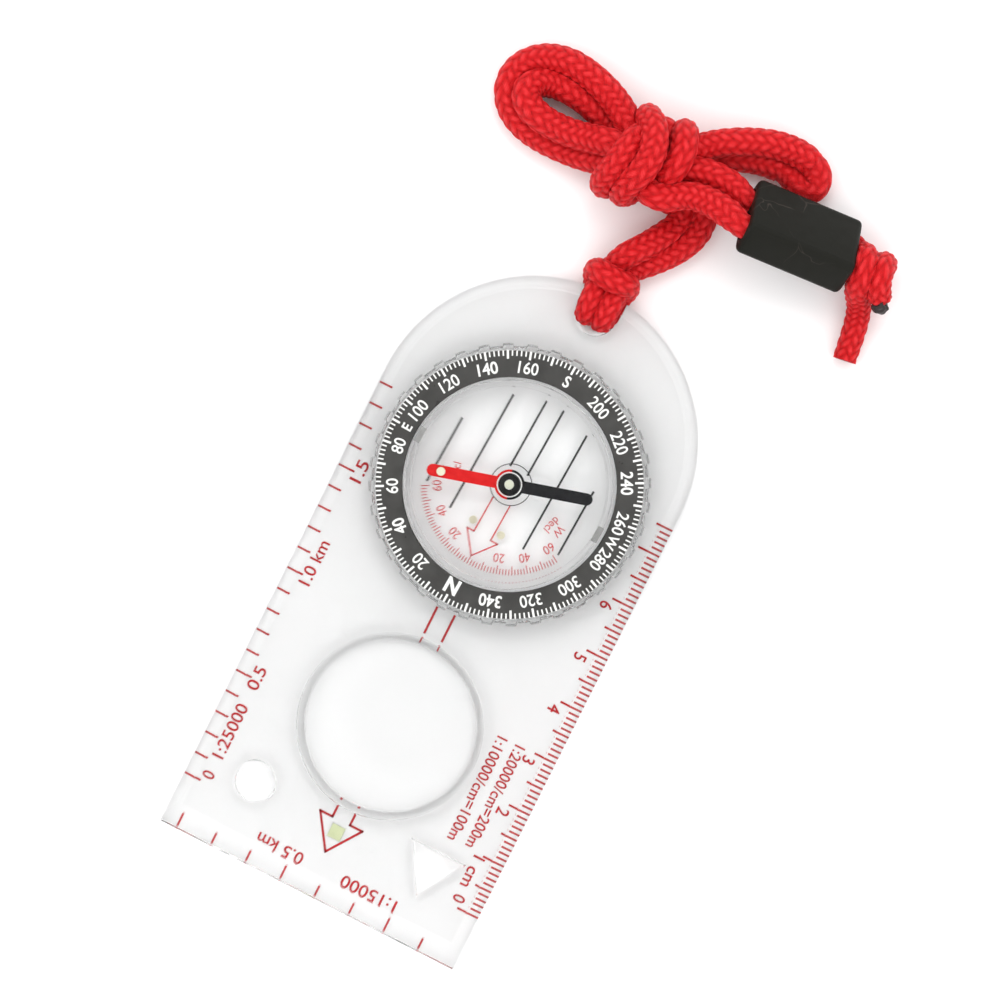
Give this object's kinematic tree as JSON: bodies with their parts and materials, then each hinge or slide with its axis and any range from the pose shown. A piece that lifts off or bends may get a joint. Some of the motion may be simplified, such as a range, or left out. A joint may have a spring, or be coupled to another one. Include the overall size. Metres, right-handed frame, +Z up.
{
  "type": "baseplate compass",
  "caption": "Clear baseplate compass with map scales, magnifier, template holes, turning dial, liquid capsule with swinging needle, and a red braided neck lanyard knotted up with a cord slider.",
  "frame": {"origin": "centre of the baseplate's underside, on the surface that the compass lies on", "axes": "+Y along the direction-of-travel arrow, the plate's longest extent; +X to the right seen from above; +Z up, through the plate's thickness"},
  "size_m": [0.0782, 0.1544, 0.0168],
  "materials": {
    "clear_plate": "polished clear acrylic",
    "clear_capsule": "polished clear acrylic",
    "degree_black": "satin black with white print",
    "spring_steel": "bright",
    "plug_rubber": "matt",
    "luminous": "matt luminous paint",
    "needle_paint": "satin red north half and black south half",
    "black_plastic": "satin moulded",
    "jewel": "polished",
    "red_cord": "braided polypropylene",
    "melted_cord": "melted and charred"
  },
  "bodies": {
    "plate": {"baseplate": "clear_plate", "magnifier_lens": "clear_plate", "travel_arrow_inlay": "luminous", "lanyard_hitch": "red_cord", "lanyard_lead_left": "red_cord", "lanyard_lead_right": "red_cord", "lanyard_centre_knot": "red_cord", "lanyard_loops": "red_cord", "lanyard_bight": "red_cord", "slider_strand_upper": "red_cord", "slider_strand_lower": "red_cord", "lanyard_end_knot": "red_cord", "lanyard_tail": "red_cord", "lanyard_melted_end": "melted_cord"},
    "dial": {"capsule_base": "clear_capsule", "capsule_lid": "clear_capsule", "bezel_ring": "clear_capsule", "degree_ring": "degree_black", "retaining_ring": "spring_steel", "fill_plug": "plug_rubber", "vent_plug": "plug_rubber", "orienting_dot_left": "luminous", "orienting_dot_right": "luminous", "pivot_pin": "spring_steel"},
    "needle": {"needle_bar": "needle_paint", "needle_hub": "black_plastic", "jewel_bearing": "jewel", "needle_dot": "luminous"},
    "slider": {"cord_slider": "black_plastic"}
  },
  "joints": [
    {"name": "dial_turn", "type": "hinge", "parent": "plate", "child": "dial", "pos_m": [0, -0.02125, 0], "axis": [0, 0, 1], "continuous": true},
    {"name": "needle_swing", "type": "hinge", "parent": "dial", "child": "needle", "pos_m": [0, -0.02125, 0], "axis": [0, 0, 1], "continuous": true},
    {"name": "slider_slide", "type": "slide", "parent": "plate", "child": "slider", "axis": [0.9715, 0.0748, 0.225], "range_m": [0, 0.0025]}
  ]
}
